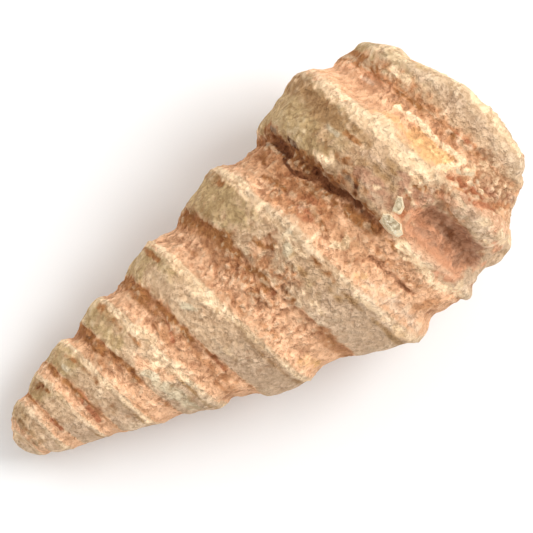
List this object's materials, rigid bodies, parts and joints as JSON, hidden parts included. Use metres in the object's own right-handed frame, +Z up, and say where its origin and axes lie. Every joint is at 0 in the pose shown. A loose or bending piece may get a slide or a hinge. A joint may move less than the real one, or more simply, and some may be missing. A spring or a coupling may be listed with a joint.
{
  "type": "fossil turret snail",
  "caption": "Stone filling of a tall spiral snail shell, lying on its side: keeled winding bands with hollow grooves between them, worn tip and base.",
  "frame": {"origin": "on the surface that the fossil lies on, under the middle of its bounding box", "axes": "+X from the worn tip to the wide base, +Z up out of the surface, +Y to the side where the keels start"},
  "size_m": [0.0752, 0.0396, 0.0377],
  "materials": {
    "limestone": "dry sandy limestone, grey-tan bands, salmon grooves and pale cream keels"
  },
  "bodies": {
    "root": {"fossil_snail": "limestone"}
  },
  "joints": []
}
